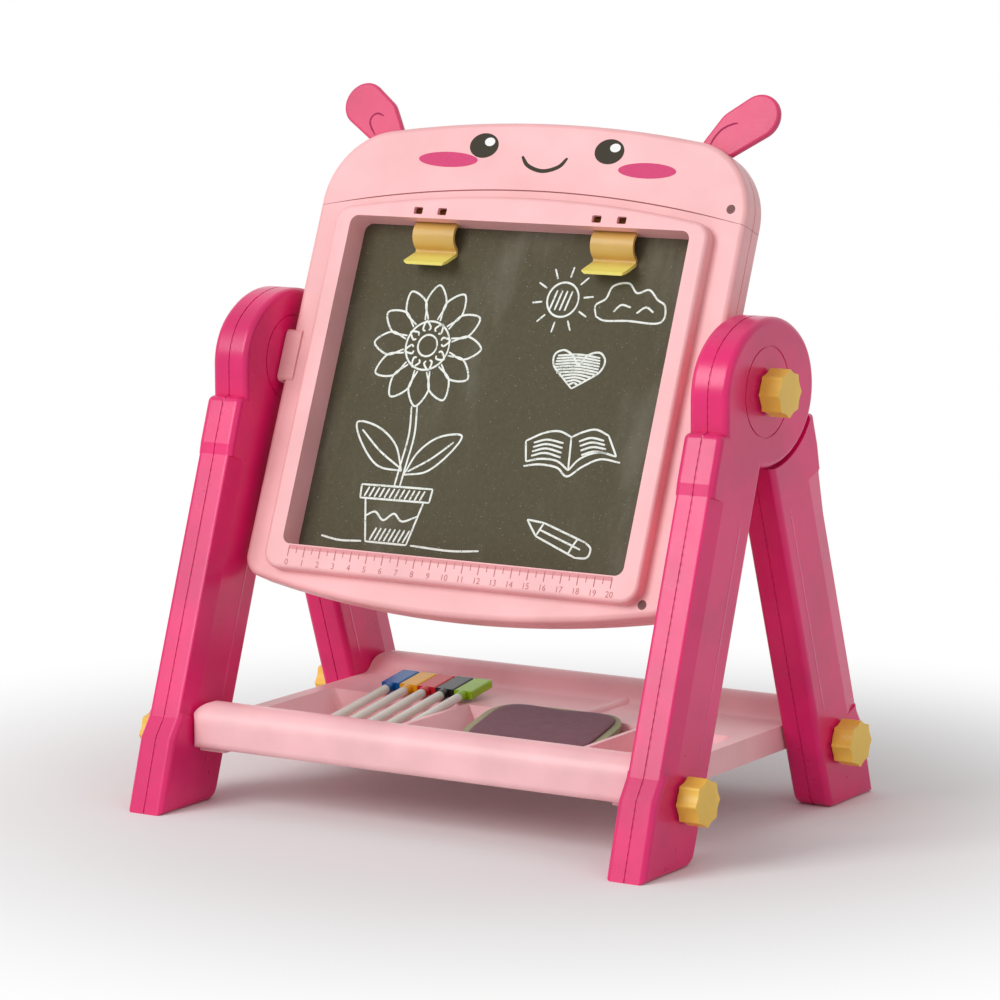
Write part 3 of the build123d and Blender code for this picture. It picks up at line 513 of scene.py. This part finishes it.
def filled_ellipse(u, v, radius_u, radius_v, height):
    """A disc as a polar grid: the point at share r of the radius and angle a is the centre plus
    (radius_u r cos a, radius_v r sin a)."""
    r = np.linspace(0, 1, DISC_RINGS)[:, None]
    a = np.linspace(0, 2 * np.pi, DISC_SPOKES, endpoint=False)
    return on_board((u + radius_u * r * np.cos(a)) / 1000, (v + radius_v * r * np.sin(a)) / 1000, height)


def round_faces(rings, count, first=0):
    """Faces of a polar grid whose columns close on themselves."""
    r, c = np.meshgrid(np.arange(rings - 1), np.arange(count), indexing="ij")
    near, far = first + r * count, first + (r + 1) * count
    following = (c + 1) % count
    return np.stack([near + c, far + c, far + following, near + following], axis=-1).reshape(-1, 4)


def discs(shapes, height):
    """Several filled ellipses in one set of vertices and faces."""
    vertices, faces = [], []
    for k, shape in enumerate(shapes):
        vertices.append(filled_ellipse(*shape, height=height).reshape(-1, 3))
        faces.append(round_faces(DISC_RINGS, DISC_SPOKES, DISC_RINGS * DISC_SPOKES * k))
    return np.concatenate(vertices), np.concatenate(faces)


def ink(name, colour):
    """A thin film of colour with a slight sheen and faint thin places. It serves for the printed
    inks, the lines on the ears and the painted shadow in the seam under the header.
    """
    material, wire, shader, place = finish_material(name, Specular_IOR_Level=0.2)
    thin = wire.noise(place, 700.0, 3.0)
    feed(
        wire,
        shader,
        Base_Color=wire.blend(thin, linear(*colour, 0.94), linear(*colour, 1.06)),
        Roughness=0.5 + thin * 0.1,
        Normal=wire.bump(thin, 0.00002),
    )
    return material


brown_ink = ink("brown ink", (52, 46, 32))
rose_ink = ink("rose ink", (214, 70, 120))
white_ink = ink("white ink", (250, 250, 246))
PRINT = BOARD_FACE + 0.00005
eyes = [(-34.8, 122.8, 9.0, 7.0), (43.4, 122.0, 9.0, 7.0)]
glints = [(-31.6, 125.0, 3.2, 2.4), (46.6, 124.2, 3.2, 2.4)]
cheeks = [(-55.8, 114.2, 18.8, 4.3), (68.4, 112.3, 17.6, 4.3)]
smile = [smooth_path([(-9.6, 117.6), (-4.8, 112.4), (4.6, 109.8), (14.0, 112.4), (18.6, 117.6)], 12)]
make_piece("face_eyes", *discs(eyes, PRINT), "board", "board_pink", brown_ink)
make_piece("face_glints", *discs(glints, PRINT + 0.00003), "board", "board_pink", white_ink)
make_piece("face_cheeks", *discs(cheeks, PRINT), "board", "board_pink", rose_ink)
make_piece("face_smile", *strokes_on_board(smile, 0.0022, PRINT, 0.5), "board", "board_pink", brown_ink)
# a painted shadow in the seam under the header: a dark strip along the seam, which is an arc
# about a middle far below it
SEAM_RADIUS, SEAM_TOP, SEAM_END = 655.0, 98.5, 128.6
seam_shade = ink("seam shade", (150, 84, 84))
across = np.linspace(-SEAM_END, SEAM_END, 65)
seam = np.stack([across, SEAM_TOP - SEAM_RADIUS + np.sqrt(SEAM_RADIUS**2 - across**2)], axis=1)
make_piece("painted_seam_shadow", *strokes_on_board([seam], 0.0007, PRINT, 0.9), "board", "board_pink", seam_shade)


# ==== ruler ==================================================================================
# A ruler of 20 cm is moulded into the rim below the chalkboard: a band, ticks that hang from it
# and plain numbers, all filled with a dull rose.
ruler_ink = ink("ruler rose", (192, 118, 118))


def oblongs_on_board(boxes, height):
    """Flat oblongs (left, right, low, high in millimetres) at a height above the board."""
    b = np.asarray(boxes, float) / 1000
    u = b[:, [0, 1, 1, 0]]
    v = b[:, [2, 2, 3, 3]]
    return on_board(u, v, height), np.arange(4 * len(b)).reshape(-1, 4)


band_ink = ink("ruler band", (226, 152, 156))
make_piece(
    "ruler_band",
    *oblongs_on_board([(-100.3, 100.3, -109.2, -106.9)], RIM_FACE + 0.00003),
    "board",
    "board_pink",
    band_ink,
)
CM_TICK, HALF_TICK = (-113.2, -107.6), (-111.2, -108.0)
marks = [(u - 0.3, u + 0.3, *CM_TICK) for u in range(-100, 101, 10)]
marks += [(u - 0.25, u + 0.25, *HALF_TICK) for u in range(-95, 96, 10)]
make_piece("ruler_marks", *oblongs_on_board(marks, RIM_FACE + 0.00005), "board", "board_pink", ruler_ink)
DIGIT_SIZE, DIGIT_LINE = 0.0047, -0.1179
number_meshes = []
for k in range(21):
    curve = bpy.data.curves.new(f"number_{k}", "FONT")
    curve.body, curve.size, curve.align_x, curve.resolution_u = str(k), DIGIT_SIZE, "CENTER", 3
    text = bpy.data.objects.new(f"number_{k}", curve)
    bpy.context.scene.collection.objects.link(text)
    mesh = bpy.data.meshes.new_from_object(text)
    flat = np.zeros(len(mesh.vertices) * 3)
    mesh.vertices.foreach_get("co", flat)
    flat = flat.reshape(-1, 3)
    placed = flat[:, :2] + ((10 * k - 100) / 1000, DIGIT_LINE)
    number_meshes.append((placed, [list(face.vertices) for face in mesh.polygons]))
    bpy.data.objects.remove(text)
number_faces, number_points, first = [], [], 0
for points, faces in number_meshes:
    number_points.append(on_board(points[:, 0], points[:, 1], RIM_FACE + 0.00005))
    number_faces += [[first + i for i in face] for face in faces]
    first += len(points)
make_piece("ruler_numbers", np.concatenate(number_points), number_faces, "board", "board_pink", ruler_ink)


# ==== ears ===================================================================================
# Two curled ears in deep rose plastic, each with a curved line moulded into its front, drawn as a
# thin strip of darker rose on the face. A tab on each is held between the two halves of the header.
ear_plastic, *_ = moulded("ear rose", (216, 62, 108), roughness=0.36, mottle=0.04)
dress(ear_plastic, "ear_left", "ear_right")
ear_line = ink("ear line", (160, 30, 78))
EAR_FACE = 0.0022
ear_strokes = [
    smooth_path(
        [(-111.2, 128.8), (-115.1, 133.5), (-116.4, 136.9), (-115.2, 140), (-112, 141.3), (-108, 139.9)]
    ),
    smooth_path(
        [(98.5, 129.5), (100.1, 133.7), (102.8, 137.8), (106.2, 140.5), (109.9, 142.1), (112.7, 142.6)]
    ),
]
curls = strokes_on_board(ear_strokes, 0.0011, EAR_FACE + 0.00003, 0.7)
make_piece("ear_curls", *curls, "board", "ear_rose", ear_line)


# ==== paper clips ============================================================================
# Two sprung clips in amber plastic that lets a little light through, painted paler along the lip
# as a highlight on its upturned face.
# Each turns on a steel pin in the front bezel and presses paper on the chalkboard.
LIP_HIGHLIGHT = (0.2895, 0.293)


def clip_plastic():
    """Amber plastic, painted paler below the height at which the lip starts, as a highlight on the
    upturned lip.
    """
    material, wire, shader, place = moulded("clip amber", (216, 170, 92), roughness=0.36)
    shader.inputs["Subsurface Weight"].default_value = 0.15
    z = wire.node("ShaderNodeSeparateXYZ", {}, {"Vector": place}, 2)
    # painted highlight: the upturned lip is blended to a pale yellow
    lip_highlight = 1 - z.step(*LIP_HIGHLIGHT)
    body = Wire(wire.tree, shader.inputs["Base Color"].links[0].from_socket)
    feed(wire, shader, Base_Color=wire.blend(lip_highlight, body, linear(255, 238, 120)))
    return material


dress(clip_plastic(), "clip_left", "clip_right")


# ==== screws =================================================================================
# Case screws with brown heads that draw the two bezels together. Two show at the right of the
# front and four at the back.
def lathe(profile, centre, axis, count):
    """A surface of revolution: the profile's (radius, height) pairs swept round the axis."""
    axis = np.asarray(axis, float) / np.linalg.norm(axis)
    side = np.cross(axis, (1.0, 0.0, 0.0))
    side /= np.linalg.norm(side)
    other = np.cross(axis, side)
    p = np.asarray(profile, float)
    a = np.linspace(0, 2 * np.pi, count, endpoint=False)
    ring = np.cos(a)[None, :, None] * side + np.sin(a)[None, :, None] * other
    return np.asarray(centre) + p[:, 0, None, None] * ring + p[:, 1, None, None] * axis


out_of_front = on_board(0, 0, 1.0) - on_board(0, 0, 0)
head_profile = [(0.0, 0.0001), (0.0011, 0.0001), (0.0013, 0.00022)]
head_profile += [(0.0022, 0.00022), (0.0025, 0.0001), (0.00255, -0.0006)]
HEAD_SPOKES = 32
screw_brown, *_ = moulded("screw brown", (112, 68, 66), roughness=0.5)


def screws(name, places, height, outward):
    """Screw heads at places on the board, facing outward."""
    points, faces = [], []
    for k, (u, v) in enumerate(places):
        centre = on_board(u / 1000, v / 1000, height)
        points.append(lathe(head_profile, centre, outward, HEAD_SPOKES).reshape(-1, 3))
        first = HEAD_SPOKES * len(head_profile) * k
        faces.append(round_faces(len(head_profile), HEAD_SPOKES, first))
    points, faces = np.concatenate(points), np.concatenate(faces)
    make_piece(name, points, faces, "board", "board_pink", screw_brown)


screws("front_screws", [(122.5, 93.4), (116.2, -118.6)], BOARD_FACE, out_of_front)
screws("rear_screws", [(-122, 80), (122, 80), (-122, -116), (122, -116)], -BOARD_FACE, -out_of_front)


# ==== pens ===================================================================================
# Five slim whiteboard pens: a milky barrel, a coloured cap pushed onto it and a felt wiper let
# into the end. Barrels and caps are moulded and the felts are pressed.
for colour_name, colour in (
    ("blue", (10, 98, 178)),
    ("yellow", (244, 184, 22)),
    ("red", (212, 40, 52)),
    ("black", (42, 37, 42)),
    ("green", (152, 204, 24)),
):
    cap_plastic, *_ = moulded(f"{colour_name} cap", colour, roughness=0.3)
    dress(cap_plastic, f"{colour_name}_pen_cap")
barrel_plastic, *_ = moulded("pen barrel", (228, 234, 222), roughness=0.3, mottle=0.02)
barrel_plastic.node_tree.nodes["Principled BSDF"].inputs["Subsurface Weight"].default_value = 0.1


def pressed_felt(name, colour, fibre=1800.0):
    """Felt: matted fibres in two tones, with a soft sheen."""
    material, wire, shader, place = finish_material(
        name, Sheen_Weight=0.4, Sheen_Roughness=0.5, Specular_IOR_Level=0.15
    )
    matted = wire.noise(place, fibre, 4.0, 0.7)
    clumps = wire.noise(place, fibre / 9, 3.0)
    feed(
        wire,
        shader,
        Base_Color=wire.blend(matted * 0.6 + clumps * 0.4, linear(*colour, 0.8), linear(*colour, 1.18)),
        Roughness=0.9 + (matted - 0.5) * 0.1,
        Normal=wire.bump(matted + clumps, 0.0004, 0.8),
    )
    return material


def felt_pad(name, body, node, felt, slot, size, thickness, along, normal, dips=(0.0, 1.0)):
    """A closed pad of felt in the space of a CAD node. Its outline is the superellipse
    |x/a|^5 + |y/b|^5 = 1, whose long sides dip by d (1 - (x/l)^2)^2 within l of the middle. Its
    section runs from the flat underside round a bulging edge and over a crowned top."""
    low, high = (np.asarray(corner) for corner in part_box(node))
    along, normal = np.asarray(along, float), np.asarray(normal, float)
    across = np.cross(normal, along)
    spokes = 96
    a = np.linspace(0, 2 * np.pi, spokes, endpoint=False)
    x = size[0] / 2 * np.sign(np.cos(a)) * np.abs(np.cos(a)) ** (2 / 5)
    y = size[1] / 2 * np.sign(np.sin(a)) * np.abs(np.sin(a)) ** (2 / 5)
    dip, reach = dips
    y -= np.sign(y) * dip * np.clip(1 - (x / reach) ** 2, 0, 1) ** 2
    section = [(0.0, 0.0), (0.5, 0.0), (0.965, 0.0), (0.992, 0.14), (1.0, 0.36), (0.994, 0.6)]
    section += [(0.975, 0.8), (0.94, 0.9), (0.85, 0.96), (0.6, 0.99), (0.3, 1.0), (0.0, 1.0)]
    share, height = np.array(section).T
    points = (low + high) / 2 - normal * thickness / 2
    points = points + (share[:, None] * x)[..., None] * along + (share[:, None] * y)[..., None] * across
    points = points + (height * thickness)[:, None, None] * normal
    pad = make_piece(name, points, round_faces(len(section), spokes), body, slot, felt)
    mesh = bmesh.new()
    mesh.from_mesh(pad.data)
    bmesh.ops.remove_doubles(mesh, verts=mesh.verts, dist=1e-7)
    bmesh.ops.recalc_face_normals(mesh, faces=mesh.faces)
    mesh.to_mesh(pad.data)
    mesh.free()
    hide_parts(node)


wiper_felt = pressed_felt("wiper felt", (238, 240, 236), 3000.0)
PEN_TILT = math.radians(8.3)
pen_ahead = (0.0, math.cos(PEN_TILT), math.sin(PEN_TILT))
for colour_name in ("blue", "yellow", "red", "black", "green"):
    dress(barrel_plastic, f"{colour_name}_pen_barrel")
    felt_pad(
        f"{colour_name}_pen_wiper",
        f"{colour_name}_pen",
        f"{colour_name}_pen_felt",
        wiper_felt,
        "pen_felt",
        (0.0108, 0.0042),
        0.0019,
        (1.0, 0.0, 0.0),
        pen_ahead,
    )


# ==== eraser =================================================================================
# A board eraser: a pad of pressed plum felt with wavy long sides, glued to a thin backing of
# olive foam that shows round its edge.
olive_foam, *_ = moulded(
    "olive foam", (160, 164, 128), roughness=0.7, mottle=0.06, peel=0.0003, grain=1600.0
)
dress(olive_foam, "eraser_back")
ERASER_SLOPE = math.atan(0.25)
felt_pad(
    "eraser_pad",
    "eraser",
    "eraser_felt",
    pressed_felt("plum felt", (112, 66, 82)),
    "eraser_plum",
    (0.075, 0.047),
    0.0014,
    (1.0, 0.0, 0.0),
    (0.0, -math.sin(ERASER_SLOPE), math.cos(ERASER_SLOPE)),
    dips=(0.002, 0.0233),
)


# ==== studio =================================================================================
# A white floor that keeps the shadow near the object and is lost in the white beyond, a strong
# soft lamp from the front left and a weak one from the right, and the camera.
def seen_directly(wire):
    """1 for the rays that show the surroundings: the camera's, and those off gloss and in glass."""
    kinds = ("Is Camera Ray", "Is Glossy Ray", "Is Transmission Ray")
    camera, glossy, through = [wire.node("ShaderNodeLightPath", {}, {}, kind) for kind in kinds]
    return wire.math("MAXIMUM", camera, wire.math("MAXIMUM", glossy, through))


def backdrop():
    """White paper that fades to plain white with its distance from the object."""
    material, wire, shader, place = finish_material(
        "backdrop", Base_Color=(0.9, 0.9, 0.9, 1), Roughness=0.9, Specular_IOR_Level=0.0
    )
    away = wire.node("ShaderNodeVectorMath", {"operation": "LENGTH"}, {0: place}, "Value")
    glow = wire.node("ShaderNodeEmission", {}, {"Color": (1, 1, 1, 1), "Strength": 1.0})
    lost = away.step(0.16, 0.5) * seen_directly(wire)
    mixed = wire.node("ShaderNodeMixShader", {}, {0: lost, 2: glow})
    wire.tree.links.new(shader.outputs["BSDF"], mixed.socket.node.inputs[1])
    wire.tree.links.new(mixed.socket, wire.tree.nodes["Material Output"].inputs["Surface"])
    return material


floor_mesh = bpy.data.meshes.new("floor")
floor_mesh.from_pydata([(-6, -6, 0), (6, -6, 0), (6, 6, 0), (-6, 6, 0)], [], [(0, 1, 2, 3)])
floor = bpy.data.objects.new("floor", floor_mesh)
bpy.context.scene.collection.objects.link(floor)
floor_mesh.materials.append(backdrop())
world = bpy.data.worlds.new("studio")
bpy.context.scene.world = world
world.use_nodes = True
sky = Wire(world.node_tree)
background = world.node_tree.nodes["Background"]
background.inputs["Color"].default_value = (1, 1, 1, 1)
world.node_tree.links.new((0.5 + seen_directly(sky) * 0.5).socket, background.inputs["Strength"])


def lamp(name, place, target, size, power):
    """A square soft lamp that faces a target."""
    light = bpy.data.lights.new(name, "AREA")
    light.size, light.energy = size, power
    holder = bpy.data.objects.new(name, light)
    bpy.context.scene.collection.objects.link(holder)
    ahead = np.asarray(target, float) - np.asarray(place, float)
    holder.rotation_euler = Vector(ahead).to_track_quat("-Z", "Y").to_euler()
    holder.location = place


lamp("key", (-1.0, -2.1, 1.6), (0, 0, 0.2), 1.4, 37)
lamp("fill", (2.2, -1.2, 1.4), (0, 0, 0.2), 1.6, 3.5)

AZIMUTH, ELEVATION, ROLL = math.radians(31.85), math.radians(8.60), math.radians(-0.14)
AIM = (-0.00207, 0.0, 0.16403)
DISTANCE = 2.21912
camera = bpy.data.cameras.new("camera")
camera.lens, camera.sensor_width = 149.8, 36.0
camera_holder = bpy.data.objects.new("camera", camera)
bpy.context.scene.collection.objects.link(camera_holder)
back = np.array(
    [
        math.sin(AZIMUTH) * math.cos(ELEVATION),
        -math.cos(AZIMUTH) * math.cos(ELEVATION),
        math.sin(ELEVATION),
    ]
)
camera_holder.location = np.array(AIM) + back * DISTANCE
facing = Matrix.Rotation(AZIMUTH, 3, "Z") @ Matrix.Rotation(math.pi / 2 - ELEVATION, 3, "X")
camera_holder.rotation_euler = (facing @ Matrix.Rotation(ROLL, 3, "Z")).to_euler()
bpy.context.scene.camera = camera_holder
bpy.context.scene.view_settings.view_transform = "Standard"

bpy.context.view_layer.update()
